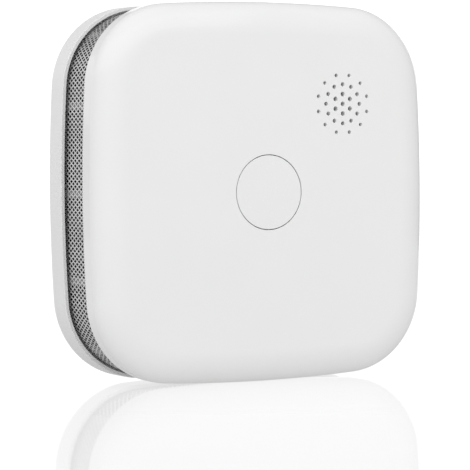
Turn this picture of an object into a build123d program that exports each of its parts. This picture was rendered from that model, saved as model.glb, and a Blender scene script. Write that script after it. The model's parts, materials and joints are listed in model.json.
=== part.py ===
from build123d import *

import math
import os

os.makedirs("parts", exist_ok=True)

# Square carbon monoxide detector.
# +Z is up, the front faces -Y and the wall is the plane Y = 0.
# The origin is the centre of the wall plate's back face.
# Every depth is a distance in mm from the wall towards the room.

# ---------------------------------------------------------------- driving dimensions
HALF_WIDTH = 52.0  # half of the square front
SIDE_RADIUS = 491.0  # the four sides are crowned by this radius
BASE_CORNER = 23.2  # corner radius of the rear housing
COVER_CORNER = 23.0  # corner radius of the front cover

REAR_EDGE = 0.85  # rear edge of the housing, just clear of the wall
BASE_FRONT = 8.6  # front edge of the housing's side wall
COVER_REAR = 21.7  # rear rim of the front cover
COVER_WIDEST = 25.85  # here the cover's rounded edge begins
FACE = 30.95  # flat front face
EDGE_INSET = 8.85  # width of the rounded edge, seen from the front

HOUSING_WALL = 2.0
HOUSING_REAR_ROUND = 0.5
LIP_WALL = 0.95
LIP_DEPTH = 2.0
LIP_ROUND = 0.2
COVER_WALL = 2.2
COVER_FACE_WALL = 2.0
COVER_RIM_WALL = 1.35
COVER_RIM_DEPTH = 1.5
COVER_RIM_ROUND = 0.4

MESH_INSET = 1.5
MESH_THICKNESS = 0.37
MESH_END_GAP = 0.2
FRAME_INSET = 2.05
FRAME_WALL = 1.2
FRAME_REAR_RING = 2.0  # ring that stands on the housing's floor, hidden by its lip
FRAME_FRONT_RING = 0.9  # ring that stands behind the cover's rim
BAFFLE_INSET = 3.4
BAFFLE_WALL = 0.9
BAFFLE_FRONT = 20.3  # air passes between this edge and the front ring of the frame
RIB_WIDTH = 2.0
RIB_PITCH = 23.6

RECESS_RADIUS = 45.0  # round recess in the back for the wall plate
RECESS_FLOOR = 5.0
RECESS_WALL = 2.0
FLOOR_WALL = 1.8
INNER_FLOOR = RECESS_FLOOR + FLOOR_WALL

PLATE_RADIUS = 42.8
PLATE_WEB = 1.6
PLATE_RING_FRONT = 4.4
PLATE_RING_WALL = 2.0
HUB_RADIUS = 14.0
HUB_WALL = 2.0
WINDOW_CIRCLE = 29.0  # the plate's four windows stand on this radius
WINDOW_LENGTH = 12.0
WINDOW_WIDTH = 5.0
LUG_RADIUS = 44.6
LUG_REAR = 2.5
LUG_FRONT = 4.0
LUG_HALF_ANGLE = 6.0
LIP_INNER_RADIUS = 43.3
LIP_FRONT = 2.2
LIP_HALF_ANGLE = 6.5
TWIST = 15.0  # turn that frees the lugs
STOP_HALF_ANGLE = 0.75
STOP_GAP = 1.0  # angle between a lug and its stop
WALL_SLOT_PITCH = 60.0
WALL_SLOT_LENGTH = 8.0
WALL_SLOT_WIDTH = 4.4

BUTTON_RADIUS = 10.1
BUTTON_HOLE_RADIUS = 10.32
BUTTON_ROUND = 0.12
BUTTON_WALL = 1.2
BUTTON_TOP_WALL = 1.6
BUTTON_RIB_LENGTH = 15.0  # cross of stiffening ribs under the top
BUTTON_RIB_WALL = 0.8
BUTTON_RIB_HEIGHT = 1.0
BUTTON_TRAVEL = 0.8
BUTTON_SKIRT_REAR = 27.9
BUTTON_FLANGE_RADIUS = 11.6
COLLAR_WALL = 1.1
COLLAR_HEIGHT = 3.0
BUTTON_COLLAR_RADIUS = BUTTON_FLANGE_RADIUS + 0.4
STEM_RADIUS = 2.2
STEM_GAP = 0.6  # free travel before the stem meets the switch

SOUNDER_X = 23.8
SOUNDER_Z = 24.1
SOUNDER = (SOUNDER_X, SOUNDER_Z)
SOUNDER_RING_PITCH = 2.71
# ring number, number of holes, angle of the first hole, hole radius
HOLE_RINGS = [(0, 1, 0, 0.65), (1, 6, 30, 0.65), (2, 12, 0, 0.58), (3, 12, 15, 0.5)]
CHAMBER_RADIUS = 14.5
CHAMBER_WALL = 1.1
SOUNDER_COLLAR_RADIUS = CHAMBER_RADIUS + 0.2
DISC_THICKNESS = 0.3
CERAMIC_THICKNESS = 0.25
CERAMIC_RADIUS = 9.0
GASKET_INNER_RADIUS = 11.0
SOUND_PORT_RADIUS = 3.0

BOARD_REAR = 20.4
BOARD_THICKNESS = 1.6
BOARD_FRONT = BOARD_REAR + BOARD_THICKNESS
BOARD_HALF_WIDTH = 38.0
BOARD_TOP = 40.0
BOARD_BOTTOM = -18.0
BOARD_CORNER = 20.0

SWITCH_SIZE = 6.0
SWITCH_HEIGHT = 3.5
PLUNGER_RADIUS = 1.75
PLUNGER_REAR = BOARD_FRONT + 1.6
PLUNGER_FRONT = BUTTON_SKIRT_REAR - 1.6

CASE_POST = 38.5  # case screws stand at plus and minus this in X and Z
CASE_POST_RADIUS = 3.4
CASE_POST_SPLIT = 12.0  # depth where the housing's post meets the cover's boss
CASE_SCREW_RADIUS = 1.45
CASE_HEAD_RADIUS = 2.6
CASE_HEAD_HEIGHT = 1.8
CASE_HEAD_SEAT = 6.0  # depth of the counterbore's floor
CASE_SCREW_LENGTH = 14.0
BOARD_SCREWS = [(-32.0, -12.0), (32.0, -12.0), (0.0, 35.0)]
BOARD_POST_RADIUS = 3.0
BOARD_SCREW_RADIUS = 1.25
BOARD_HEAD_RADIUS = 2.3
BOARD_HEAD_HEIGHT = 1.5
BOARD_SCREW_LENGTH = 7.5
CROSS_DEPTH = 0.8
CROSS_WIDTH = 0.5

CELL_RADIUS = 8.5
CELL_LENGTH = 34.5
CELL_Z = -31.0
CELL_DEPTH = 15.6
CRADLE_X = 10.0
CRADLE_WALL = 1.6
CRADLE_HEIGHT = 6.2
PAD_WIDTH = 18.0
PAD_HEIGHT = 8.0

SENSOR_X = -24.0
SENSOR_Z = 20.0
SENSOR_RADIUS = 9.4
SENSOR_BASE_RADIUS = 10.0
SENSOR_BASE_HEIGHT = 2.0
FILTER_RADIUS = 4.0
FILTER_SEAT = 1.0

FAR = 200.0  # longer than anything in the object
GAP = 0.1  # clearance between pieces that sit in each other
SCREW_CLEARANCE = 0.2
ROOT = 0.5  # how far an added feature reaches into the wall it stands on


# ---------------------------------------------------------------- helpers
def room(depth):
    """Plane parallel to the wall at this depth, facing the room: X across, Z up."""
    return Plane.XZ.offset(depth)


def crowned_square(corner, inset=0.0):
    """Square of crowned sides and round corners, moved inwards by inset."""
    side_centre = HALF_WIDTH - SIDE_RADIUS
    reach = SIDE_RADIUS - corner
    corner_centre = (side_centre + math.sqrt(2 * reach**2 - side_centre**2)) / 2
    half_span = math.degrees(math.atan2(corner_centre, corner_centre - side_centre))
    with BuildSketch() as outline:
        with BuildLine():
            for quarter in range(4):
                turn = 90 * quarter
                side = Vector(side_centre, 0).rotate(Axis.Z, turn)
                bend = Vector(corner_centre, corner_centre).rotate(Axis.Z, turn)
                CenterArc(side, SIDE_RADIUS - inset, turn - half_span, 2 * half_span)
                CenterArc(bend, corner - inset, turn + half_span, 90 - 2 * half_span)
        make_face()
    return outline.sketch


def band(corner, outer_inset, inner_inset):
    """Ring between two crowned squares."""
    with BuildSketch() as ring:
        add(crowned_square(corner, outer_inset))
        add(crowned_square(corner, inner_inset), mode=Mode.SUBTRACT)
    return ring.sketch


def sector(inner_radius, outer_radius, middle_angle, half_angle):
    """Piece of a flat ring, centred on an angle in degrees."""
    reach = Vector(2 * outer_radius, 0)
    with BuildSketch() as piece:
        Circle(outer_radius)
        Circle(inner_radius, mode=Mode.SUBTRACT)
        with BuildLine():
            Polyline(
                Vector(0, 0),
                reach.rotate(Axis.Z, middle_angle - half_angle),
                reach.rotate(Axis.Z, middle_angle + half_angle),
                close=True,
            )
        make_face(mode=Mode.INTERSECT)
    return piece.sketch


def corners(reach):
    """The four points at plus and minus reach."""
    return [(x, z) for x in (-reach, reach) for z in (-reach, reach)]


def save(piece, name):
    """Label one finished piece and write it to its own file."""
    piece.part.label = name
    export_step(piece.part, f"parts/{name}.step")


# ---------------------------------------------------------------- wall plate
# A shallow dish: web against the wall, ring with four lugs, two screw slots and four windows.
with BuildPart() as wall_plate:
    with BuildSketch(room(0)):
        Circle(PLATE_RADIUS)
        with GridLocations(WALL_SLOT_PITCH, 0, 2, 1):
            SlotOverall(WALL_SLOT_LENGTH, WALL_SLOT_WIDTH, mode=Mode.SUBTRACT)
        with PolarLocations(WINDOW_CIRCLE, 4, start_angle=45):
            SlotOverall(WINDOW_LENGTH, WINDOW_WIDTH, rotation=90, mode=Mode.SUBTRACT)
    extrude(amount=PLATE_WEB)
    with BuildSketch(room(PLATE_WEB)):
        Circle(PLATE_RADIUS)
        Circle(PLATE_RADIUS - PLATE_RING_WALL, mode=Mode.SUBTRACT)
        Circle(HUB_RADIUS)
        Circle(HUB_RADIUS - HUB_WALL, mode=Mode.SUBTRACT)
    extrude(amount=PLATE_RING_FRONT - PLATE_WEB)
    with BuildSketch(room(LUG_REAR)):
        for quarter in range(4):
            add(sector(PLATE_RADIUS - 1.0, LUG_RADIUS, 45 + 90 * quarter, LUG_HALF_ANGLE))
    extrude(amount=LUG_FRONT - LUG_REAR)
save(wall_plate, "wall_plate")


# ---------------------------------------------------------------- rear housing
SIDE_FLOOR = REAR_EDGE + HOUSING_WALL
LIP_REAR = BASE_FRONT - LIP_DEPTH

with BuildPart() as rear_housing:
    # Outer shell with a rounded rear edge and a thin rounded lip in front.
    with BuildSketch(room(REAR_EDGE)):
        add(crowned_square(BASE_CORNER))
    extrude(amount=BASE_FRONT - REAR_EDGE)
    fillet(rear_housing.faces().sort_by(Axis.Y)[-1].edges(), HOUSING_REAR_ROUND)
    fillet(rear_housing.faces().sort_by(Axis.Y)[0].edges(), LIP_ROUND)
    with BuildSketch(room(SIDE_FLOOR)):
        add(crowned_square(BASE_CORNER, HOUSING_WALL))
    extrude(amount=FAR, mode=Mode.SUBTRACT)
    with BuildSketch(room(LIP_REAR)):
        add(crowned_square(BASE_CORNER, LIP_WALL))
    extrude(amount=FAR, mode=Mode.SUBTRACT)
    # Cup that takes the wall plate.
    with BuildSketch(room(SIDE_FLOOR)):
        Circle(RECESS_RADIUS + RECESS_WALL)
    extrude(amount=INNER_FLOOR - SIDE_FLOOR)
    with BuildSketch(room(0)):
        Circle(RECESS_RADIUS)
    extrude(amount=RECESS_FLOOR, mode=Mode.SUBTRACT)
    # Lips that hold the plate's lugs, and a stop on each side of the turn.
    with BuildSketch(room(REAR_EDGE)):
        for quarter in range(4):
            add(sector(LIP_INNER_RADIUS, RECESS_RADIUS + ROOT, 45 + 90 * quarter, LIP_HALF_ANGLE))
    extrude(amount=LIP_FRONT - REAR_EDGE)
    with BuildSketch(room(REAR_EDGE)):
        for quarter in range(4):
            middle = 45 + 90 * quarter
            reach = LUG_HALF_ANGLE + STOP_GAP + STOP_HALF_ANGLE
            for stop in (middle + reach, middle - TWIST - reach):
                add(sector(LIP_INNER_RADIUS, RECESS_RADIUS + ROOT, stop, STOP_HALF_ANGLE))
    extrude(amount=RECESS_FLOOR - REAR_EDGE)
    # Posts for the case screws, with counterbored heads reached from behind.
    with BuildSketch(room(REAR_EDGE + 1.0)):
        with Locations(*corners(CASE_POST)):
            Circle(CASE_POST_RADIUS)
    extrude(amount=CASE_POST_SPLIT - REAR_EDGE - 1.0)
    with BuildSketch(room(0)):
        with Locations(*corners(CASE_POST)):
            Circle(CASE_HEAD_RADIUS + SCREW_CLEARANCE)
    extrude(amount=CASE_HEAD_SEAT, mode=Mode.SUBTRACT)
    with BuildSketch(room(0)):
        with Locations(*corners(CASE_POST)):
            Circle(CASE_SCREW_RADIUS + SCREW_CLEARANCE)
    extrude(amount=FAR, mode=Mode.SUBTRACT)
    # Posts for the circuit board.
    with BuildSketch(room(INNER_FLOOR)):
        with Locations(*BOARD_SCREWS):
            Circle(BOARD_POST_RADIUS)
    extrude(amount=BOARD_REAR - INNER_FLOOR)
    with BuildSketch(room(BOARD_REAR)):
        with Locations(*BOARD_SCREWS):
            Circle(BOARD_SCREW_RADIUS)
    extrude(amount=-BOARD_SCREW_LENGTH - GAP, mode=Mode.SUBTRACT)
    # Cradle ribs under the battery.
    with BuildSketch(room(INNER_FLOOR)):
        with Locations((-CRADLE_X, CELL_Z), (CRADLE_X, CELL_Z)):
            Rectangle(CRADLE_WALL, 2 * CELL_RADIUS + 2.0)
    extrude(amount=CRADLE_HEIGHT)
    with BuildSketch(Plane.YZ):
        with Locations((-CELL_DEPTH, CELL_Z)):
            Circle(CELL_RADIUS + GAP)
    extrude(amount=2 * CRADLE_X, both=True, mode=Mode.SUBTRACT)
save(rear_housing, "rear_housing")


# ---------------------------------------------------------------- vent frame
# Rear and front rings joined by ribs; the mesh wraps round the outside.
with BuildPart() as vent_frame:
    frame_front = COVER_REAR + COVER_RIM_DEPTH - GAP
    opening_rear = SIDE_FLOOR + FRAME_REAR_RING
    opening_front = COVER_REAR - FRAME_FRONT_RING
    with BuildSketch(room(SIDE_FLOOR + GAP)):
        add(band(BASE_CORNER, FRAME_INSET, FRAME_INSET + FRAME_WALL))
    extrude(amount=opening_rear - SIDE_FLOOR - GAP)
    with BuildSketch(room(opening_front)):
        add(band(BASE_CORNER, FRAME_INSET, FRAME_INSET + FRAME_WALL))
    extrude(amount=frame_front - opening_front)
    with BuildSketch(room(opening_rear)):
        for step in (-RIB_PITCH, 0.0, RIB_PITCH):
            with Locations((0, step)):
                Rectangle(FAR, RIB_WIDTH)
            with Locations((step, 0)):
                Rectangle(RIB_WIDTH, FAR)
        for turn in (45, 135):
            Rectangle(FAR, RIB_WIDTH, rotation=turn)
        add(band(BASE_CORNER, FRAME_INSET, FRAME_INSET + FRAME_WALL), mode=Mode.INTERSECT)
    extrude(amount=opening_front - opening_rear)
save(vent_frame, "vent_frame")


# ---------------------------------------------------------------- vent baffle
# Dark wall close behind the ribs, which keeps splashes and probes off the circuit board.
with BuildPart() as vent_baffle:
    with BuildSketch(room(SIDE_FLOOR)):
        add(band(BASE_CORNER, BAFFLE_INSET, BAFFLE_INSET + BAFFLE_WALL))
    extrude(amount=BAFFLE_FRONT - SIDE_FLOOR)
save(vent_baffle, "vent_baffle")


# ---------------------------------------------------------------- mesh band
with BuildPart() as mesh_band:
    mesh_rear = LIP_REAR + MESH_END_GAP
    mesh_front = COVER_REAR + COVER_RIM_DEPTH - MESH_END_GAP
    with BuildSketch(room(mesh_rear)):
        add(band(BASE_CORNER, MESH_INSET, MESH_INSET + MESH_THICKNESS))
    extrude(amount=mesh_front - mesh_rear)
save(mesh_band, "mesh_band")


# ---------------------------------------------------------------- front cover
def cushion(inset, edge_width, rear, widest, face):
    """Solid cushion: straight sides, then an elliptical edge edge_width wide up to a flat face."""
    with BuildPart() as dome:
        with BuildSketch(room(-1.0)):
            add(crowned_square(COVER_CORNER, inset))
        extrude(amount=1.0 + edge_width)
        # A hair under the full width, so that the flat face keeps its edge.
        fillet(dome.faces().sort_by(Axis.Y)[0].edges(), edge_width - 0.001)
        scale(by=(1, (face - widest) / edge_width, 1))
    with BuildPart() as solid:
        with BuildSketch(room(rear)):
            add(crowned_square(COVER_CORNER, inset))
        extrude(amount=widest - rear)
        add(dome.part.moved(Location((0, -widest, 0))))
    return solid.part


cover_outside = cushion(0.0, EDGE_INSET, COVER_REAR, COVER_WIDEST, FACE)
cover_inside = cushion(
    COVER_WALL,
    EDGE_INSET - COVER_WALL,
    COVER_REAR + COVER_RIM_DEPTH,
    COVER_WIDEST,
    FACE - COVER_FACE_WALL,
)
INNER_FACE = FACE - COVER_FACE_WALL

with BuildPart() as front_cover:
    add(cover_outside)
    fillet(front_cover.faces().sort_by(Axis.Y)[-1].edges(), COVER_RIM_ROUND)
    add(cover_inside, mode=Mode.SUBTRACT)
    with BuildSketch(room(COVER_REAR)):
        add(crowned_square(COVER_CORNER, COVER_RIM_WALL))
    extrude(amount=COVER_RIM_DEPTH, mode=Mode.SUBTRACT)
    # Guide collar for the button and seat collar for the sounder.
    for place, radius in (((0, 0), BUTTON_COLLAR_RADIUS), (SOUNDER, SOUNDER_COLLAR_RADIUS)):
        with BuildSketch(room(INNER_FACE)):
            with Locations(place):
                Circle(radius + COLLAR_WALL)
                Circle(radius, mode=Mode.SUBTRACT)
        extrude(amount=-COLLAR_HEIGHT)
    # Bosses that take the case screws.
    with BuildSketch(room(CASE_POST_SPLIT + GAP)):
        with Locations(*corners(CASE_POST)):
            Circle(CASE_POST_RADIUS)
    extrude(amount=INNER_FACE + ROOT - CASE_POST_SPLIT - GAP)
    with BuildSketch(room(CASE_POST_SPLIT)):
        with Locations(*corners(CASE_POST)):
            Circle(CASE_SCREW_RADIUS)
    extrude(amount=CASE_HEAD_SEAT + CASE_SCREW_LENGTH + 3.0 - CASE_POST_SPLIT, mode=Mode.SUBTRACT)
    # Button hole and the sounder's holes: one, then rings of six, twelve and twelve.
    with BuildSketch(room(0)):
        Circle(BUTTON_HOLE_RADIUS)
    extrude(amount=FAR, mode=Mode.SUBTRACT)
    with BuildSketch(room(INNER_FACE - ROOT)):
        for ring, count, start, hole_radius in HOLE_RINGS:
            with Locations(SOUNDER):
                with PolarLocations(ring * SOUNDER_RING_PITCH, count, start_angle=start):
                    Circle(hole_radius)
    extrude(amount=FAR, mode=Mode.SUBTRACT)
save(front_cover, "front_cover")


# ---------------------------------------------------------------- test button
with BuildPart() as test_button:
    skirt_inner = BUTTON_RADIUS - BUTTON_WALL
    button_top = FACE - BUTTON_TOP_WALL
    flange_front = INNER_FACE - GAP
    with BuildSketch(room(BUTTON_SKIRT_REAR)):
        Circle(BUTTON_RADIUS)
    extrude(amount=FACE - BUTTON_SKIRT_REAR)
    fillet(test_button.faces().sort_by(Axis.Y)[0].edges(), BUTTON_ROUND)
    with BuildSketch(room(BUTTON_SKIRT_REAR)):
        Circle(BUTTON_FLANGE_RADIUS)
    extrude(amount=flange_front - BUTTON_SKIRT_REAR)
    with BuildSketch(room(BUTTON_SKIRT_REAR)):
        Circle(skirt_inner)
    extrude(amount=button_top - BUTTON_SKIRT_REAR, mode=Mode.SUBTRACT)
    with BuildSketch(room(PLUNGER_FRONT + STEM_GAP)):
        Circle(STEM_RADIUS)
    extrude(amount=button_top - PLUNGER_FRONT - STEM_GAP)
    with BuildSketch(room(button_top)):
        Rectangle(BUTTON_RIB_LENGTH, BUTTON_RIB_WALL)
        Rectangle(BUTTON_RIB_WALL, BUTTON_RIB_LENGTH)
    extrude(amount=-BUTTON_RIB_HEIGHT)
save(test_button, "test_button")


# ---------------------------------------------------------------- light guide
GUIDE_REAR = BOARD_FRONT + 1.4
GUIDE_FRONT = BUTTON_SKIRT_REAR - BUTTON_TRAVEL - 2 * GAP
GUIDE_RADIUS = 9.4
GUIDE_INNER_RADIUS = 7.0
GUIDE_FOOT_RADIUS = 1.1
GUIDE_PEG_RADIUS = 0.7
LED_CIRCLE = 8.2  # light guide feet and status lights share this circle

with BuildPart() as light_guide:
    with BuildSketch(room(GUIDE_REAR)):
        Circle(GUIDE_RADIUS)
        Circle(GUIDE_INNER_RADIUS, mode=Mode.SUBTRACT)
    extrude(amount=GUIDE_FRONT - GUIDE_REAR)
    chamfer(light_guide.faces().sort_by(Axis.Y)[0].edges(), 0.4)
    with BuildSketch(room(BOARD_FRONT - 1.2)):
        with PolarLocations(LED_CIRCLE, 3, start_angle=90):
            Circle(GUIDE_PEG_RADIUS)
    extrude(amount=3.0)
    with BuildSketch(room(BOARD_FRONT)):
        with PolarLocations(LED_CIRCLE, 3, start_angle=90):
            Circle(GUIDE_FOOT_RADIUS)
    extrude(amount=1.8)
save(light_guide, "light_guide")


# ---------------------------------------------------------------- main board
TAB_X = CELL_LENGTH / 2 + GAP
TAB_THICKNESS = 0.25

with BuildPart() as main_board:
    with BuildSketch(room(BOARD_REAR)) as board_sketch:
        with Locations((0, (BOARD_TOP + BOARD_BOTTOM) / 2)):
            Rectangle(2 * BOARD_HALF_WIDTH, BOARD_TOP - BOARD_BOTTOM)
        top_corners = board_sketch.vertices().group_by(Axis.Y)[-1]
        fillet(top_corners, BOARD_CORNER)
        low_corners = board_sketch.vertices().group_by(Axis.Y)[0]
        fillet(low_corners, 2.0)
        with Locations(*BOARD_SCREWS):
            Circle(BOARD_SCREW_RADIUS + SCREW_CLEARANCE, mode=Mode.SUBTRACT)
        with PolarLocations(LED_CIRCLE, 3, start_angle=90):
            Circle(GUIDE_PEG_RADIUS + GAP / 2, mode=Mode.SUBTRACT)
        with Locations((0, BOARD_BOTTOM)):
            with GridLocations(2 * TAB_X + TAB_THICKNESS, 0, 2, 1):
                Rectangle(0.8, 6.0, mode=Mode.SUBTRACT)
    extrude(amount=BOARD_THICKNESS)
save(main_board, "main_board")


# ---------------------------------------------------------------- tactile switch
with BuildPart() as switch_body:
    with BuildSketch(room(BOARD_FRONT)):
        Rectangle(SWITCH_SIZE, SWITCH_SIZE)
        Circle(PLUNGER_RADIUS + GAP, mode=Mode.SUBTRACT)
    extrude(amount=SWITCH_HEIGHT)
    with BuildSketch(room(BOARD_FRONT)):
        Circle(PLUNGER_RADIUS + 2 * GAP)
    extrude(amount=1.2)
    with BuildSketch(room(BOARD_FRONT)):
        with GridLocations(SWITCH_SIZE + 1.0, 4.5, 2, 2):
            Rectangle(1.2, 0.7)
    extrude(amount=0.3)
save(switch_body, "switch_body")

with BuildPart() as switch_plunger:
    with BuildSketch(room(PLUNGER_REAR)):
        Circle(PLUNGER_RADIUS)
    extrude(amount=PLUNGER_FRONT - PLUNGER_REAR)
    chamfer(switch_plunger.faces().sort_by(Axis.Y)[0].edges(), 0.3)
save(switch_plunger, "switch_plunger")


# ---------------------------------------------------------------- parts soldered to the board
with BuildPart() as status_leds:
    with BuildSketch(room(BOARD_FRONT)):
        with PolarLocations(LED_CIRCLE, 3, start_angle=30):
            Rectangle(1.4, 1.8)
    extrude(amount=0.6)
    with BuildSketch(room(BOARD_FRONT + 0.6)):
        with PolarLocations(LED_CIRCLE, 3, start_angle=30):
            Circle(0.6)
    extrude(amount=0.4)
save(status_leds, "status_leds")


def chip(place, body, height, pin_count, pin_pitch):
    """Moulded chip with gull-wing legs along its two upright sides."""
    width, length = body
    with BuildPart() as part:
        with BuildSketch(room(BOARD_FRONT + 0.15)):
            with Locations(place):
                Rectangle(width, length)
        extrude(amount=height, taper=4)
        with BuildSketch(room(BOARD_FRONT)):
            with Locations(place):
                with GridLocations(width + 0.9, pin_pitch, 2, pin_count):
                    Rectangle(1.3, 0.4 * pin_pitch)
        extrude(amount=0.25)
    return part


CHIP_PIN_PITCH = 1.27

microcontroller = chip((-22.0, 6.0), (7.6, 13.0), 2.3, 10, CHIP_PIN_PITCH)
save(microcontroller, "microcontroller")

sensor_amplifier = chip((SENSOR_X, SENSOR_Z), (3.9, 4.9), 1.4, 4, CHIP_PIN_PITCH)
save(sensor_amplifier, "sensor_amplifier")

INDUCTOR_PLACE = (15.5, -9.0)

with BuildPart() as boost_inductor:
    with BuildSketch(room(BOARD_FRONT)):
        with Locations(INDUCTOR_PLACE):
            RectangleRounded(6.0, 6.0, 1.5)
    extrude(amount=1.0)
    with BuildSketch(room(BOARD_FRONT + 1.0)):
        with Locations(INDUCTOR_PLACE):
            Circle(2.4)
    extrude(amount=1.4)
    with BuildSketch(room(BOARD_FRONT + 2.4)):
        with Locations(INDUCTOR_PLACE):
            Circle(2.9)
    extrude(amount=0.8)
save(boost_inductor, "boost_inductor")

CAPACITOR_PLACE = (-13.0, -12.0)

with BuildPart() as storage_capacitor:
    with BuildSketch(room(BOARD_FRONT)):
        with Locations(CAPACITOR_PLACE):
            RectangleRounded(6.6, 6.6, 0.8)
    extrude(amount=0.8)
    with BuildSketch(room(BOARD_FRONT + 0.8)):
        with Locations(CAPACITOR_PLACE):
            Circle(3.1)
    extrude(amount=4.4)
    fillet(storage_capacitor.faces().sort_by(Axis.Y)[0].edges(), 0.4)
save(storage_capacitor, "storage_capacitor")

# Groups of resistors and ceramic capacitors: middle, columns, rows.
CHIP_GROUPS = [((-22.0, -7.0), 3, 2), ((-10.0, 18.0), 2, 3), ((26.0, -9.0), 2, 2)]

with BuildPart() as chip_components:
    with BuildSketch(room(BOARD_FRONT)):
        for place, columns, rows in CHIP_GROUPS:
            with Locations(place):
                with GridLocations(3.4, 2.6, columns, rows):
                    Rectangle(2.0, 1.2)
    extrude(amount=0.7)
save(chip_components, "chip_components")


# ---------------------------------------------------------------- carbon monoxide cell
# It hangs behind the board with its gas inlet facing the back.
SENSOR_INLET = INNER_FLOOR + 1.2
SENSOR_BASE_REAR = BOARD_REAR - SENSOR_BASE_HEIGHT
FILTER_THICKNESS = 0.6

with BuildPart() as co_sensor_base:
    with BuildSketch(room(SENSOR_BASE_REAR)):
        with Locations((SENSOR_X, SENSOR_Z)):
            Circle(SENSOR_BASE_RADIUS)
    extrude(amount=SENSOR_BASE_HEIGHT)
save(co_sensor_base, "co_sensor_base")

with BuildPart() as co_sensor_can:
    with BuildSketch(room(SENSOR_INLET)):
        with Locations((SENSOR_X, SENSOR_Z)):
            Circle(SENSOR_RADIUS)
    extrude(amount=SENSOR_BASE_REAR - SENSOR_INLET)
    fillet(co_sensor_can.faces().sort_by(Axis.Y)[-1].edges(), 0.8)
    # Seat of the filter, and the gas inlet under it.
    with BuildSketch(room(SENSOR_INLET)):
        with Locations((SENSOR_X, SENSOR_Z)):
            Circle(FILTER_RADIUS)
    extrude(amount=FILTER_SEAT, mode=Mode.SUBTRACT)
    with BuildSketch(room(SENSOR_INLET)):
        with Locations((SENSOR_X, SENSOR_Z)):
            Circle(0.9)
    extrude(amount=FILTER_SEAT + 2.0, mode=Mode.SUBTRACT)
save(co_sensor_can, "co_sensor_can")

with BuildPart() as co_sensor_filter:
    with BuildSketch(room(SENSOR_INLET + FILTER_SEAT - FILTER_THICKNESS)):
        with Locations((SENSOR_X, SENSOR_Z)):
            Circle(FILTER_RADIUS - GAP / 2)
    extrude(amount=FILTER_THICKNESS)
save(co_sensor_filter, "co_sensor_filter")

with BuildPart() as co_sensor_pins:
    with BuildSketch(room(BOARD_FRONT)):
        with Locations((SENSOR_X, SENSOR_Z)):
            with PolarLocations(7.0, 3, start_angle=90):
                Circle(0.9)
    extrude(amount=0.7)
save(co_sensor_pins, "co_sensor_pins")


# ---------------------------------------------------------------- sounder
CHAMBER_FRONT = INNER_FACE - 0.6
CHAMBER_REAR = BOARD_FRONT + 0.9
CHAMBER_LID = 1.0
DISC_FRONT = CHAMBER_FRONT - 3.4
DISC_REAR = DISC_FRONT - DISC_THICKNESS
CERAMIC_REAR = DISC_REAR - CERAMIC_THICKNESS


def sounder_ring(rear, front, outer_radius, inner_radius=0.0):
    """Ring, or disc, turned about the sounder's axis."""
    with BuildPart() as ring:
        with BuildSketch(room(rear)):
            with Locations(SOUNDER):
                Circle(outer_radius)
                if inner_radius:
                    Circle(inner_radius, mode=Mode.SUBTRACT)
        extrude(amount=front - rear)
    return ring


chamber_inner = CHAMBER_RADIUS - CHAMBER_WALL
chamber_overlap = CHAMBER_RADIUS - CHAMBER_WALL / 2
with BuildPart() as sounder_chamber:
    add(sounder_ring(CHAMBER_REAR, CHAMBER_FRONT, CHAMBER_RADIUS, chamber_inner).part)
    # Ledge in front of the disc, then the lid with its sound port.
    add(sounder_ring(DISC_FRONT, CHAMBER_FRONT, chamber_overlap, chamber_inner - 1.2).part)
    add(sounder_ring(CHAMBER_FRONT - CHAMBER_LID, CHAMBER_FRONT, chamber_overlap, SOUND_PORT_RADIUS).part)
save(sounder_chamber, "sounder_chamber")

sounder_disc = sounder_ring(DISC_REAR, DISC_FRONT, chamber_inner - GAP / 2)
save(sounder_disc, "sounder_disc")

sounder_ceramic = sounder_ring(CERAMIC_REAR, DISC_REAR, CERAMIC_RADIUS)
save(sounder_ceramic, "sounder_ceramic")

sounder_gasket = sounder_ring(CHAMBER_FRONT, INNER_FACE, CHAMBER_RADIUS - GAP, GASKET_INNER_RADIUS)
save(sounder_gasket, "sounder_gasket")

CONTACT_WIDTH = 2.0
CONTACT_THICKNESS = 0.3

with BuildPart() as sounder_contacts:
    # One spring leaf touches the ceramic, the other the brass disc.
    for contact_x, tip in ((SOUNDER_X - 1.0, CERAMIC_REAR), (SOUNDER_X - 10.5, DISC_REAR)):
        foot = BOARD_FRONT + CONTACT_THICKNESS
        with BuildSketch(Plane.XY.offset(SOUNDER_Z - CONTACT_WIDTH / 2)):
            with BuildLine():
                Polyline(
                    (contact_x - 2.0, -BOARD_FRONT),
                    (contact_x + 1.0, -BOARD_FRONT),
                    (contact_x + 1.0, -foot),
                    (contact_x - 1.0, -foot),
                    (contact_x + 1.0, -tip),
                    (contact_x - 0.4, -tip),
                    (contact_x - 2.0, -foot),
                    close=True,
                )
            make_face()
        extrude(amount=CONTACT_WIDTH)
save(sounder_contacts, "sounder_contacts")


# ---------------------------------------------------------------- battery
with BuildPart() as lithium_cell:
    with BuildSketch(Plane.YZ.offset(-CELL_LENGTH / 2)):
        with Locations((-CELL_DEPTH, CELL_Z)):
            Circle(CELL_RADIUS)
    extrude(amount=CELL_LENGTH)
    fillet(lithium_cell.edges().filter_by(GeomType.CIRCLE), 0.6)
save(lithium_cell, "lithium_cell")

TAB_HALF_WIDTH = 2.0
TAB_FOOT_REAR = BOARD_BOTTOM + 0.4
TAB_FOOT_FRONT = BOARD_BOTTOM + 2.6
TAB_TIP = BOARD_FRONT + 0.6
WELD_RADIUS = 1.5

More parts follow.
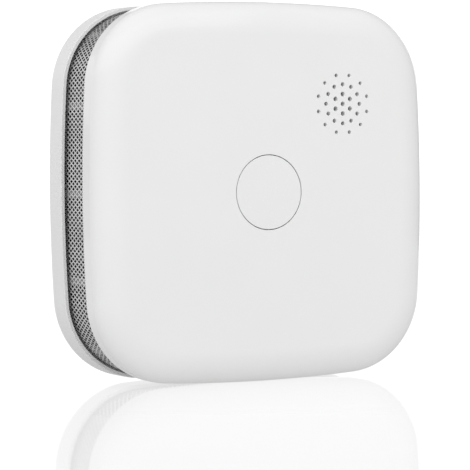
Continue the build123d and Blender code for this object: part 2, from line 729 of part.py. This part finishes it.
with BuildPart() as cell_tabs:
    for tab_x in (-TAB_X - TAB_THICKNESS, TAB_X):
        with BuildSketch(Plane.YZ.offset(tab_x)):
            with BuildLine():
                Polyline(
                    (-CELL_DEPTH + TAB_HALF_WIDTH, CELL_Z - TAB_HALF_WIDTH),
                    (-CELL_DEPTH - TAB_HALF_WIDTH, CELL_Z - TAB_HALF_WIDTH),
                    (-CELL_DEPTH - TAB_HALF_WIDTH, TAB_FOOT_REAR),
                    (-TAB_TIP, TAB_FOOT_REAR),
                    (-TAB_TIP, TAB_FOOT_FRONT),
                    (-CELL_DEPTH + TAB_HALF_WIDTH, TAB_FOOT_FRONT),
                    close=True,
                )
            make_face()
        extrude(amount=TAB_THICKNESS)
    # Weld spots that reach the cell's ends.
    for spot_x in (-TAB_X, CELL_LENGTH / 2):
        with BuildSketch(Plane.YZ.offset(spot_x)):
            with Locations((-CELL_DEPTH, CELL_Z)):
                Circle(WELD_RADIUS)
        extrude(amount=TAB_X - CELL_LENGTH / 2)
save(cell_tabs, "cell_tabs")

with BuildPart() as cell_pad:
    pad_rear = CELL_DEPTH + CELL_RADIUS - 1.0
    with BuildSketch(room(pad_rear)):
        with Locations((0, CELL_Z)):
            Rectangle(PAD_WIDTH, PAD_HEIGHT)
    extrude(amount=INNER_FACE - pad_rear)
    with BuildSketch(Plane.YZ):
        with Locations((-CELL_DEPTH, CELL_Z)):
            Circle(CELL_RADIUS + GAP / 2)
    extrude(amount=FAR, both=True, mode=Mode.SUBTRACT)
save(cell_pad, "cell_pad")


# ---------------------------------------------------------------- screws
def screws(places, head_depth, head_radius, head_height, shank_radius, length, forward):
    """Pan-head screws with a cross slot; forward is +1 when the shank points to the room."""
    with BuildPart() as group:
        with BuildSketch(room(head_depth)):
            with Locations(*places):
                Circle(head_radius)
        extrude(amount=-forward * head_height)
        with BuildSketch(room(head_depth - forward * head_height)):
            with Locations(*places):
                Rectangle(1.1 * head_radius, CROSS_WIDTH)
                Rectangle(CROSS_WIDTH, 1.1 * head_radius)
        extrude(amount=forward * CROSS_DEPTH, mode=Mode.SUBTRACT)
        with BuildSketch(room(head_depth)):
            with Locations(*places):
                Circle(shank_radius)
        extrude(amount=forward * length)
    return group


case_screws = screws(
    corners(CASE_POST),
    CASE_HEAD_SEAT,
    CASE_HEAD_RADIUS,
    CASE_HEAD_HEIGHT,
    CASE_SCREW_RADIUS,
    CASE_SCREW_LENGTH,
    forward=1,
)
save(case_screws, "case_screws")

board_screws = screws(
    BOARD_SCREWS,
    BOARD_FRONT,
    BOARD_HEAD_RADIUS,
    BOARD_HEAD_HEIGHT,
    BOARD_SCREW_RADIUS,
    BOARD_SCREW_LENGTH,
    forward=-1,
)
save(board_screws, "board_screws")
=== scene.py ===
import json
import math

import bmesh
import bpy
from mathutils import Matrix, Vector


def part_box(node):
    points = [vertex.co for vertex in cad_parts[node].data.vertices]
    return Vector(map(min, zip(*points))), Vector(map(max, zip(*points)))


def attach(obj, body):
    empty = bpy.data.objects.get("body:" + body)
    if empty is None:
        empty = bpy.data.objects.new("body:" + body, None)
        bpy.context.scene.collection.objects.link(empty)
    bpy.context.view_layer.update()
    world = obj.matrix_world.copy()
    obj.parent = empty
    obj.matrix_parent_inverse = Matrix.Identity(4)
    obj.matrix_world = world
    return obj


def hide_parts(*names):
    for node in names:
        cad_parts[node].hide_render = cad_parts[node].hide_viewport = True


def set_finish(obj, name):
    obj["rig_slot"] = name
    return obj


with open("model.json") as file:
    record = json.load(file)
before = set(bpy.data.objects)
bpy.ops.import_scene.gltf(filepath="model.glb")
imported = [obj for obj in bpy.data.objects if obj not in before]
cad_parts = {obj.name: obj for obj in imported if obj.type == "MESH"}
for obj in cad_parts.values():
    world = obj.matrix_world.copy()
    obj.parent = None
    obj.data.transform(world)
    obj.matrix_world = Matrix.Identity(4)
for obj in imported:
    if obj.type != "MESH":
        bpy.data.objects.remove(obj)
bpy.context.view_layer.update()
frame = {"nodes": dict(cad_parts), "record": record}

# Square carbon monoxide detector: 104 mm, +Z up, front towards -Y, wall at y = 0.
# Depths are distances from the wall, so a point at depth d lies at y = -d. Everything is in metres.
MM = 0.001
nodes = frame["nodes"]
scene = bpy.context.scene


def depth_range(node):
    """Nearest and farthest depth of a CAD node from the wall."""
    low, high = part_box(node)
    return -high[1], -low[1]


# ---------------------------------------------------------------- sizes taken from the frame
_, cover_face = depth_range("front_cover")
mesh_rear, mesh_front = depth_range("mesh_band")
HALF_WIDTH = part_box("front_cover")[1][0]
MESH_INSET = HALF_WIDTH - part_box("mesh_band")[1][0]
FLOOR_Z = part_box("front_cover")[0][2]

# The crowned square: side arcs and corner arcs that share a tangent.
SIDE_RADIUS = 491 * MM
COVER_CORNER = 23.0 * MM
BASE_CORNER = 23.2 * MM

# Section through the cover's edge.
EDGE_INSET = 8.85 * MM
EDGE_DEPTH = 5.1 * MM
COVER_WALL = 2.2 * MM
FACE_WALL = 2.0 * MM
RIM_WALL = 1.35 * MM
RIM_DEPTH = 1.5 * MM
RIM_ROUND = 0.4 * MM
MESH_TO_STEP = 0.2 * MM
cover_rear = mesh_front + MESH_TO_STEP - RIM_DEPTH
cover_widest = cover_face - EDGE_DEPTH

# Features inside the cover, whose fronts run into the face by a root.
ROOT = 0.5 * MM
COLLAR_WALL = 1.1 * MM
COLLAR_HEIGHT = 3.0 * MM
BUTTON_COLLAR = 12.0 * MM
SOUNDER_COLLAR = 14.7 * MM
BOSS_REACH = 38.5 * MM
BOSS_RADIUS = 3.4 * MM
SCREW_RADIUS = 1.45 * MM

# Holes, whose cutters run past both faces by an overcut.
OVERCUT = 1 * MM
BUTTON_HOLE = 10.32 * MM
BUTTON_HOLE_FLARE = 0.05 * MM
SOUNDER_HOLE_FLARE = 0.08 * MM
SOUNDER = (23.8 * MM, 24.1 * MM)
RING_PITCH = 2.71 * MM
# ring number, holes, angle of the first, hole radius
HOLE_RINGS = [
    (0, 1, 0, 0.65 * MM),
    (1, 6, 30, 0.65 * MM),
    (2, 12, 0, 0.58 * MM),
    (3, 12, 15, 0.50 * MM),
]


# ---------------------------------------------------------------- mesh helpers
def outline_arcs(corner):
    """How far the side's and the corner's centres lie out, and half the angle that a side spans."""
    side_centre = HALF_WIDTH - SIDE_RADIUS
    reach = SIDE_RADIUS - corner
    corner_centre = (side_centre + math.sqrt(2 * reach**2 - side_centre**2)) / 2
    half_span = math.atan2(corner_centre, corner_centre - side_centre)
    return side_centre, corner_centre, half_span


def crowned_square(corner, side_steps, corner_steps):
    """Points of the outline as (centre, radius, direction), so that it can be moved inwards."""
    side_centre, corner_centre, half_span = outline_arcs(corner)
    rays = []
    for quarter in range(4):
        turn = Matrix.Rotation(quarter * math.pi / 2, 2)
        for step in range(side_steps):
            angle = half_span * (2 * step / side_steps - 1)
            ray = Vector((math.cos(angle), math.sin(angle)))
            rays.append((turn @ Vector((side_centre, 0)), SIDE_RADIUS, turn @ ray))
        for step in range(corner_steps):
            angle = half_span + (math.pi / 2 - 2 * half_span) * step / corner_steps
            ray = Vector((math.cos(angle), math.sin(angle)))
            middle = Vector((corner_centre, corner_centre))
            rays.append((turn @ middle, corner, turn @ ray))
    return rays


def at(ray, inset, depth):
    """Point on an outline ray, moved inwards by inset, at a depth from the wall."""
    centre, radius, direction = ray
    point = centre + direction * (radius - inset)
    return (point.x, -depth, point.y)


def new_object(name, mesh):
    obj = bpy.data.objects.new(name, mesh)
    scene.collection.objects.link(obj)
    return obj


def turned_outline(name, rays, profile, caps=(False, False)):
    """Skin through rings of the outline, one ring for each (inset, depth) of the profile."""
    shape = bmesh.new()
    rings = [[shape.verts.new(at(ray, inset, depth)) for ray in rays] for inset, depth in profile]
    count = len(rays)
    for lower, upper in zip(rings, rings[1:]):
        for i in range(count):
            j = (i + 1) % count
            shape.faces.new((lower[i], lower[j], upper[j], upper[i]))
    if caps[0]:
        shape.faces.new(rings[0])
    if caps[1]:
        shape.faces.new(rings[-1])
    bmesh.ops.recalc_face_normals(shape, faces=shape.faces)
    mesh = bpy.data.meshes.new(name)
    shape.to_mesh(mesh)
    shape.free()
    return new_object(name, mesh)


def quarter_turn(centre, radius, start, steps):
    """Points of a quarter circle in the (inset, depth) plane, start in degrees."""
    points = []
    for step in range(steps + 1):
        angle = math.radians(start + 90 * step / steps)
        points.append((centre[0] + radius * math.cos(angle), centre[1] + radius * math.sin(angle)))
    return points


def lathe(name, centre, profile, steps=96, ring=False):
    """Solid turned about a line along Y through centre, from (radius, depth) points.

    Its two ends are closed by discs, or a ring's last circle is joined to its first.
    """
    shape = bmesh.new()
    rings = []
    for radius, depth in profile:
        circle = []
        for i in range(steps):
            angle = 2 * math.pi * i / steps
            x = centre[0] + radius * math.cos(angle)
            z = centre[1] + radius * math.sin(angle)
            circle.append(shape.verts.new((x, -depth, z)))
        rings.append(circle)
    following = rings[1:] + rings[:1] if ring else rings[1:]
    for lower, upper in zip(rings, following):
        for i in range(steps):
            j = (i + 1) % steps
            shape.faces.new((lower[i], lower[j], upper[j], upper[i]))
    if not ring:
        shape.faces.new(rings[0])
        shape.faces.new(rings[-1])
    bmesh.ops.recalc_face_normals(shape, faces=shape.faces)
    mesh = bpy.data.meshes.new(name)
    shape.to_mesh(mesh)
    shape.free()
    return new_object(name, mesh)


def join(target, others):
    """Joins other objects' meshes into the target's."""
    shape = bmesh.new()
    shape.from_mesh(target.data)
    for other in others:
        shape.from_mesh(other.data)
    shape.to_mesh(target.data)
    shape.free()
    for other in others:
        bpy.data.objects.remove(other)


def apply_modifiers(obj):
    """Replaces an object's mesh by its evaluated one."""
    graph = bpy.context.evaluated_depsgraph_get()
    mesh = bpy.data.meshes.new_from_object(obj.evaluated_get(graph))
    obj.modifiers.clear()
    obj.data = mesh


def combine(obj, tool, operation):
    """Exact boolean of two closed meshes, applied; the tool is used up."""
    boolean = obj.modifiers.new("combine", "BOOLEAN")
    boolean.operation = operation
    boolean.solver = "EXACT"
    boolean.object = tool
    apply_modifiers(obj)
    bpy.data.objects.remove(tool)


def soft_shade(obj):
    """Smooth shading that keeps creases and flat faces crisp."""
    obj.data.shade_smooth()
    obj.data.set_sharp_from_angle(angle=math.radians(32))
    weights = obj.modifiers.new("weighted normals", "WEIGHTED_NORMAL")
    weights.keep_sharp = True
    weights.mode = "FACE_AREA"


# ---------------------------------------------------------------- front cover
def rounded_edge(first_inset, width, depth, steps=28):
    """Quarter ellipse from the flat face out to the widest section."""
    points = []
    for step in range(steps + 1):
        angle = math.pi / 2 * step / steps
        inset = first_inset + width * (1 - math.sin(angle))
        points.append((inset, cover_widest + depth * math.cos(angle)))
    return points


def cover_profile():
    """Section of the cover from its outer face, round the rim, to its inner face."""
    outside = rounded_edge(0, EDGE_INSET, EDGE_DEPTH)
    rim = quarter_turn((RIM_ROUND, cover_rear + RIM_ROUND), RIM_ROUND, 180, 5)
    rebate = [
        (RIM_WALL, cover_rear),
        (RIM_WALL, cover_rear + RIM_DEPTH),
        (COVER_WALL, cover_rear + RIM_DEPTH),
    ]
    inside = rounded_edge(COVER_WALL, EDGE_INSET - COVER_WALL, EDGE_DEPTH - FACE_WALL)
    return outside + rim + rebate + inside[::-1]


def flared_cutter(name, centre, radius, flare, rear, steps):
    """Cutter for a hole whose outer edge is rounded by a flare."""
    profile = [(radius, rear)]
    round_steps = 4
    for step in range(round_steps + 1):
        angle = math.pi / 2 * step / round_steps
        widening = flare * (1 - math.cos(angle))
        profile.append((radius + widening, cover_face - flare * (1 - math.sin(angle))))
    profile.append((radius + flare, cover_face + OVERCUT))
    return lathe(name, centre, profile, steps)


def tube(name, centre, outer, inner, rear, front, steps):
    """Straight tube along Y, as a closed ring."""
    profile = [(outer, rear), (outer, front), (inner, front), (inner, rear)]
    return lathe(name, centre, profile, steps, ring=True)


def inner_features():
    """Collars round the button and the sounder, and the four bosses of the case screws."""
    inner_face = cover_face - FACE_WALL
    root = inner_face + ROOT
    collar = inner_face - COLLAR_HEIGHT
    tubes = []
    for centre, radius in (((0, 0), BUTTON_COLLAR), (SOUNDER, SOUNDER_COLLAR)):
        tubes.append(tube("collar", centre, radius + COLLAR_WALL, radius, collar, root, 96))
    boss_rear = depth_range("front_cover")[0]
    for x in (-BOSS_REACH, BOSS_REACH):
        for z in (-BOSS_REACH, BOSS_REACH):
            tubes.append(tube("boss", (x, z), BOSS_RADIUS, SCREW_RADIUS, boss_rear, root, 48))
    join(tubes[0], tubes[1:])
    return tubes[0]


def build_cover():
    """Dished shell with its button hole, its rings of sounder holes and its inner features."""
    rays = crowned_square(COVER_CORNER, side_steps=24, corner_steps=40)
    cover = turned_outline("cover_shell", rays, cover_profile(), caps=(True, True))
    combine(cover, inner_features(), "UNION")
    rear = cover_face - FACE_WALL - OVERCUT
    cutters = []
    for ring, count, start, radius in HOLE_RINGS:
        for i in range(count):
            angle = math.radians(start + 360 * i / count)
            x = SOUNDER[0] + ring * RING_PITCH * math.cos(angle)
            z = SOUNDER[1] + ring * RING_PITCH * math.sin(angle)
            cutters.append(flared_cutter("hole", (x, z), radius, SOUNDER_HOLE_FLARE, rear, 28))
    button = flared_cutter("cutter", (0, 0), BUTTON_HOLE, BUTTON_HOLE_FLARE, rear, 160)
    join(button, cutters)
    combine(cover, button, "DIFFERENCE")
    soft_shade(cover)
    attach(cover, "alarm")
    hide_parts("front_cover")
    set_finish(cover, "cover_white")
    return cover


# ---------------------------------------------------------------- mesh band
def outline_length(corner, inset):
    """Arcs of the outline as (centre, radius, first angle, span), and their whole length."""
    side_centre, corner_centre, half_span = outline_arcs(corner)
    arcs = []
    for quarter in range(4):
        turn = quarter * math.pi / 2
        spin = Matrix.Rotation(turn, 2)
        side_radius = SIDE_RADIUS - inset
        bend_radius = corner - inset
        bend_span = math.pi / 2 - 2 * half_span
        side_middle = spin @ Vector((side_centre, 0))
        bend_middle = spin @ Vector((corner_centre, corner_centre))
        arcs.append((side_middle, side_radius, turn - half_span, 2 * half_span))
        arcs.append((bend_middle, bend_radius, turn + half_span, bend_span))
    return arcs, sum(radius * span for _, radius, _, span in arcs)


def along(arcs, total, distance):
    """Point and outward direction at a distance round the outline."""
    distance %= total
    for centre, radius, first, span in arcs:
        if distance <= radius * span:
            break
        distance -= radius * span
    angle = first + distance / radius
    direction = Vector((math.cos(angle), math.sin(angle)))
    return centre + direction * radius, direction


def build_mesh():
    """Diamond mesh: two families of slanting flattened strands that pass over and under."""
    cell_length = 1.39 * MM
    cell_depth = 2.44 * MM
    strand_width = 0.46 * MM
    strand_thickness = 0.20 * MM
    weave = 0.05 * MM
    inset = MESH_INSET + strand_thickness / 2 + weave
    arcs, total = outline_length(BASE_CORNER, inset)
    cells = round(total / cell_length)
    pitch = total / cells
    drift = pitch / cell_depth
    steps = int((mesh_front - mesh_rear) / (cell_depth / 4))
    slant = math.atan(drift)
    sides = 6
    turns = [math.pi * (2 * side + 1) / sides for side in range(sides)]
    section = [(math.cos(turn), math.sin(turn)) for turn in turns]
    points = []
    faces = []
    for lean in (1, -1):
        for cell in range(cells):
            start = len(points)
            for step in range(steps + 1):
                depth = mesh_rear + step * cell_depth / 4
                run = cell * pitch + lean * step * pitch / 4
                place, outward = along(arcs, total, run)
                lift = lean * weave * math.cos(math.pi * step / 2)
                tangent = Vector((-outward.y, outward.x))
                across = tangent * math.cos(slant)
                for u, v in section:
                    rise = lift + v * strand_thickness / 2
                    offset = across * (u * strand_width / 2) + outward * rise
                    shift = -lean * u * strand_width / 2 * math.sin(slant)
                    point = place + offset
                    points.append((point.x, -(depth + shift), point.y))
            for step in range(steps):
                for side in range(sides):
                    a = start + step * sides + side
                    b = start + step * sides + (side + 1) % sides
                    faces.append((a, b, b + sides, a + sides))
            faces.append(tuple(start + side for side in range(sides)))
            last = start + steps * sides
            faces.append(tuple(last + side for side in range(sides)))
    mesh = bpy.data.meshes.new("mesh_lattice")
    mesh.from_pydata(points, [], faces)
    shape = bmesh.new()
    shape.from_mesh(mesh)
    bmesh.ops.recalc_face_normals(shape, faces=shape.faces)
    shape.to_mesh(mesh)
    shape.free()
    lattice = new_object("mesh_lattice", mesh)
    lattice.data.shade_smooth()
    lattice.data.set_sharp_from_angle(angle=math.radians(65))
    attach(lattice, "alarm")
    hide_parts("mesh_band")
    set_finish(lattice, "mesh_metal")
    return lattice


# ---------------------------------------------------------------- materials
def new_material(name):
    """Material with its Principled shader, and the object coordinate that its patterns use."""
    material = bpy.data.materials.new(name)
    material.use_nodes = True
    tree = material.node_tree
    shader = next(n for n in tree.nodes if n.type == "BSDF_PRINCIPLED")
    place = tree.nodes.new("ShaderNodeTexCoord").outputs["Object"]
    return material, tree, shader, place


def noise(tree, place, size, detail=3.0, stretch=None):
    """Noise pattern whose blotches are about size across; stretch scales X, Y and Z."""
    if stretch:
        mapping = tree.nodes.new("ShaderNodeMapping")
        mapping.inputs["Scale"].default_value = stretch
        tree.links.new(place, mapping.inputs["Vector"])
        place = mapping.outputs["Vector"]
    texture = tree.nodes.new("ShaderNodeTexNoise")
    texture.inputs["Scale"].default_value = 1 / size
    texture.inputs["Detail"].default_value = detail
    tree.links.new(place, texture.inputs["Vector"])
    return texture.outputs["Fac"]


def ramp(tree, value, low, high, start=0.3, end=0.7):
    """Maps a pattern onto the range from low to high: numbers or colours."""
    if isinstance(low, (int, float)):
        spread = tree.nodes.new("ShaderNodeMapRange")
        spread.inputs["From Min"].default_value = start
        spread.inputs["From Max"].default_value = end
        spread.inputs["To Min"].default_value = low
        spread.inputs["To Max"].default_value = high
        tree.links.new(value, spread.inputs["Value"])
        return spread.outputs["Result"]
    colours = tree.nodes.new("ShaderNodeValToRGB")
    colours.color_ramp.elements[0].position = start
    colours.color_ramp.elements[0].color = (*low, 1)
    colours.color_ramp.elements[1].position = end
    colours.color_ramp.elements[1].color = (*high, 1)
    tree.links.new(value, colours.inputs["Fac"])
    return colours.outputs["Color"]


def bump(tree, shader, height, distance):
    """Bump of a real height, in metres."""
    relief = tree.nodes.new("ShaderNodeBump")
    relief.inputs["Distance"].default_value = distance
    relief.inputs["Strength"].default_value = 1.0
    tree.links.new(height, relief.inputs["Height"])
    tree.links.new(relief.outputs["Normal"], shader.inputs["Normal"])


def grey(value):
    return (value, value, value)


def shade(colour, factor):
    return tuple(channel * factor for channel in colour)


def moulded(name, colour, rough, grain, relief, tint=0.03):
    """Moulded plastic: faint tone drift, a grain of the mould and roughness that varies with it."""
    material, tree, shader, place = new_material(name)
    drift = noise(tree, place, 18 * MM, 2)
    fine = noise(tree, place, grain, 4)
    tree.links.new(ramp(tree, drift, shade(colour, 1 - tint), colour), shader.inputs["Base Color"])
    tree.links.new(ramp(tree, fine, rough[0], rough[1]), shader.inputs["Roughness"])
    bump(tree, shader, fine, relief)
    shader.inputs["IOR"].default_value = 1.5
    return material


def metal(name, colour, rough, grain, relief, stretch=(1, 1, 1)):
    """Bare metal with rolled or drawn streaks and slight tarnish."""
    material, tree, shader, place = new_material(name)
    streak = noise(tree, place, grain, 5, stretch)
    patch = noise(tree, place, 6 * MM, 3)
    tree.links.new(ramp(tree, patch, shade(colour, 0.8), colour), shader.inputs["Base Color"])
    tree.links.new(ramp(tree, streak, rough[0], rough[1]), shader.inputs["Roughness"])
    bump(tree, shader, streak, relief)
    shader.inputs["Metallic"].default_value = 1.0
    return material


def board(name, colour):
    """Solder mask over copper tracks: straight bands of brighter green, slightly raised."""
    material, tree, shader, place = new_material(name)
    tracks = tree.nodes.new("ShaderNodeTexBrick")
    tracks.inputs["Scale"].default_value = 90.0
    tracks.inputs["Mortar Size"].default_value = 0.03
    tracks.inputs["Color1"].default_value = (*colour, 1)
    tracks.inputs["Color2"].default_value = (*shade(colour, 0.8), 1)
    tracks.inputs["Mortar"].default_value = (*shade(colour, 2.2), 1)
    turned = tree.nodes.new("ShaderNodeMapping")
    turned.inputs["Rotation"].default_value = (math.pi / 2, 0, 0)
    tree.links.new(place, turned.inputs["Vector"])
    tree.links.new(turned.outputs["Vector"], tracks.inputs["Vector"])
    tree.links.new(tracks.outputs["Color"], shader.inputs["Base Color"])
    fine = noise(tree, place, 0.4 * MM, 3)
    tree.links.new(ramp(tree, fine, 0.3, 0.45), shader.inputs["Roughness"])
    bump(tree, shader, tracks.outputs["Fac"], 0.04 * MM)
    return material


def foam(name, colour):
    """Closed-cell foam: small pits between cell walls, with painted shade darkening the pits."""
    material, tree, shader, place = new_material(name)
    cells = tree.nodes.new("ShaderNodeTexVoronoi")
    cells.inputs["Scale"].default_value = 1 / (0.5 * MM)
    tree.links.new(place, cells.inputs["Vector"])
    distance = cells.outputs["Distance"]
    # Painted shade: the tone is darker towards each cell's middle, where the bump sinks a pit, and
    # brighter on the cell walls.
    tone = ramp(tree, distance, colour, shade(colour, 2.0), 0.1, 0.6)
    tree.links.new(tone, shader.inputs["Base Color"])
    shader.inputs["Roughness"].default_value = 0.85
    bump(tree, shader, distance, 0.15 * MM)
    return material


def slot_material(slot, kind, colour):
    """Material for a record slot, by its material class."""
    if slot == "cover_white":
        return moulded(slot, grey(0.80), (0.04, 0.06), 0.8 * MM, 0.0006 * MM, 0.01)
    if slot == "button_white":
        return moulded(slot, grey(0.80), (0.22, 0.28), 0.6 * MM, 0.0008 * MM, 0.01)
    if slot in ("housing_white", "plate_white"):
        return moulded(slot, grey(0.78), (0.38, 0.5), 0.22 * MM, 0.008 * MM, 0.02)
    # The vent frame is white plastic. Its mid grey is painted shade, standing for the shadow it
    # lies in behind the mesh band.
    if slot == "frame_light":
        return moulded(slot, grey(0.52), (0.45, 0.6), 0.25 * MM, 0.01 * MM, 0.04)
    if slot == "mesh_metal":
        return metal(slot, grey(0.70), (0.32, 0.5), 0.25 * MM, 0.01 * MM)
    if slot == "board_green":
        return board(slot, colour)
    if slot == "foam_black":
        return foam(slot, colour)
    if slot == "filter_felt":
        return moulded(slot, colour, (0.8, 0.95), 0.08 * MM, 0.04 * MM, 0.08)
    if kind in ("brushed_steel", "aluminium", "brass"):
        return metal(slot, colour, (0.25, 0.45), 0.3 * MM, 0.006 * MM, (1, 1, 6))
    if kind == "gloss_plastic":
        return moulded(slot, colour, (0.2, 0.3), 0.4 * MM, 0.002 * MM)
    return moulded(slot, colour, (0.45, 0.6), 0.2 * MM, 0.01 * MM, 0.1)


def dress_nodes(pieces):
    """Gives every CAD node and every new piece the material of its slot."""
    record = frame["record"]
    materials = {}
    for entry in record["materials"]:
        colour = tuple(entry["base_color"][:3])
        materials[entry["slot"]] = slot_material(entry["slot"], entry["class"], colour)
    slots = {entry["node"]: entry["material_slot"] for entry in record["subparts"]}
    for name, obj in nodes.items():
        obj.data.materials.clear()
        obj.data.materials.append(materials[slots[name]])
    for piece in pieces:
        piece.data.materials.clear()
        piece.data.materials.append(materials[piece["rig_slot"]])


# ---------------------------------------------------------------- floor, light and camera
def build_floor():
    """Round sheet of polished white acrylic over a light table."""
    radius = 0.7
    thickness = 0.004
    forward = 0.08
    clearance = 0.02 * MM
    floor = lathe("floor", (0, 0), [(radius, 0), (radius, thickness)], 128)
    floor.data.transform(Matrix.Rotation(math.pi / 2, 4, "X"))
    floor.data.transform(Matrix.Translation((0, -forward, FLOOR_Z - clearance)))
    material, tree, shader, place = new_material("floor")
    drift = noise(tree, place, 40 * MM, 2)
    tree.links.new(ramp(tree, drift, grey(0.36), grey(0.38)), shader.inputs["Base Color"])
    shader.inputs["Roughness"].default_value = 0.05
    shader.inputs["IOR"].default_value = 1.5
    shader.inputs["Emission Color"].default_value = (1, 1, 1, 1)
    shader.inputs["Emission Strength"].default_value = 0.4
    # Part of the light table shines through: strong to the eye, gentle on the object.
    glow = tree.nodes.new("ShaderNodeEmission")
    seen = tree.nodes.new("ShaderNodeLightPath").outputs["Is Camera Ray"]
    tree.links.new(ramp(tree, seen, 0.65, 0.95, 0, 1), glow.inputs["Strength"])
    blend = tree.nodes.new("ShaderNodeMixShader")
    blend.inputs["Fac"].default_value = 0.5
    output = next(n for n in tree.nodes if n.type == "OUTPUT_MATERIAL")
    tree.links.new(shader.outputs["BSDF"], blend.inputs[1])
    tree.links.new(glow.outputs["Emission"], blend.inputs[2])
    tree.links.new(blend.outputs["Shader"], output.inputs["Surface"])
    floor.data.materials.append(material)
    return floor


class Formula:
    """Small helper that writes sums and products as Math nodes."""

    def __init__(self, tree):
        self.tree = tree

    def math(self, operation, *terms):
        step = self.tree.nodes.new("ShaderNodeMath")
        step.operation = operation
        for socket, term in zip(step.inputs, terms):
            if isinstance(term, (int, float)):
                socket.default_value = term
            else:
                self.tree.links.new(term, socket)
        return step.outputs[0]

    def ease(self, value, start, end, low=0.0, high=1.0):
        step = self.tree.nodes.new("ShaderNodeMapRange")
        step.interpolation_type = "SMOOTHSTEP"
        self.tree.links.new(value, step.inputs["Value"])
        step.inputs["From Min"].default_value = start
        step.inputs["From Max"].default_value = end
        step.inputs["To Min"].default_value = low
        step.inputs["To Max"].default_value = high
        return step.outputs["Result"]


def build_world():
    """Light tent: bright in front, dimmer behind, at the sides and overhead, white to look at."""
    world = bpy.data.worlds.new("tent")
    scene.world = world
    world.use_nodes = True
    tree = world.node_tree
    background = next(n for n in tree.nodes if n.type == "BACKGROUND")
    background.inputs["Color"].default_value = (1, 1, 1, 1)
    direction = tree.nodes.new("ShaderNodeTexCoord").outputs["Generated"]
    split = tree.nodes.new("ShaderNodeSeparateXYZ")
    tree.links.new(direction, split.inputs["Vector"])
    x, y, z = (split.outputs[axis] for axis in "XYZ")
    node = Formula(tree)
    # The front falls off to both sides, and more to the right.
    front = node.math("MULTIPLY_ADD", node.math("MULTIPLY", x, x), -0.55, 1.265)
    front = node.math("MULTIPLY_ADD", x, -0.2, front)
    behind = node.math("MULTIPLY_ADD", x, -0.25, 0.62)
    rearward = node.ease(y, -0.35, 0.35)
    forward = node.math("SUBTRACT", 1.0, rearward)
    light = node.math("MULTIPLY", front, forward)
    light = node.math("MULTIPLY_ADD", behind, rearward, light)
    overhead = node.ease(z, 0.1, 1.0, 0.0, -0.1)
    light = node.math("ADD", light, overhead)
    # A softbox above the front, wide to the left; the cover's upper edge mirrors it.
    softbox = node.math("MULTIPLY", node.ease(z, 0.26, 0.3), node.ease(z, 0.74, 0.78, 1.0, 0.0))
    softbox = node.math("MULTIPLY", softbox, node.ease(x, 0.475, 0.495, 0.5, 0.0))
    softbox = node.math("MULTIPLY", softbox, forward)
    light = node.math("ADD", light, softbox)
    # A bright strip low on the back wall, which the polished floor mirrors.
    strip = node.math("MULTIPLY", node.ease(z, 0.02, 0.05), node.ease(z, 0.3, 0.4, 1.2, 0.0))
    strip = node.math("MULTIPLY", strip, node.ease(y, 0.2, 0.5))
    light = node.math("MAXIMUM", light, strip)
    to_camera = tree.nodes.new("ShaderNodeLightPath").outputs["Is Camera Ray"]
    light = node.math("MAXIMUM", light, node.math("MULTIPLY", to_camera, 1.2))
    tree.links.new(light, background.inputs["Strength"])


def build_camera():
    """Long lens from the front left, a little above the object's middle."""
    azimuth = math.radians(29.43)
    elevation = math.radians(1.32)
    distance = 652.3 * MM
    middle = Vector((0, -17.06 * MM, 0))
    level = Vector((-math.sin(azimuth), -math.cos(azimuth), 0))
    back = level * math.cos(elevation) + Vector((0, 0, math.sin(elevation)))
    position = middle + back * distance
    target = middle + Vector((-3.02 * MM, 0, -12.04 * MM))
    data = bpy.data.cameras.new("camera")
    data.sensor_width = 36
    data.lens = 179.7
    data.clip_start = 0.01
    data.clip_end = 50
    camera = new_object("camera", data)
    aim = (target - position).to_track_quat("-Z", "Y").to_matrix().to_4x4()
    roll = Matrix.Rotation(math.radians(-0.43), 4, "Z")
    camera.matrix_world = Matrix.Translation(position) @ aim @ roll
    scene.camera = camera


cover = build_cover()
lattice = build_mesh()
dress_nodes([cover, lattice])
build_floor()
build_world()
build_camera()
scene.view_settings.view_transform = "Standard"
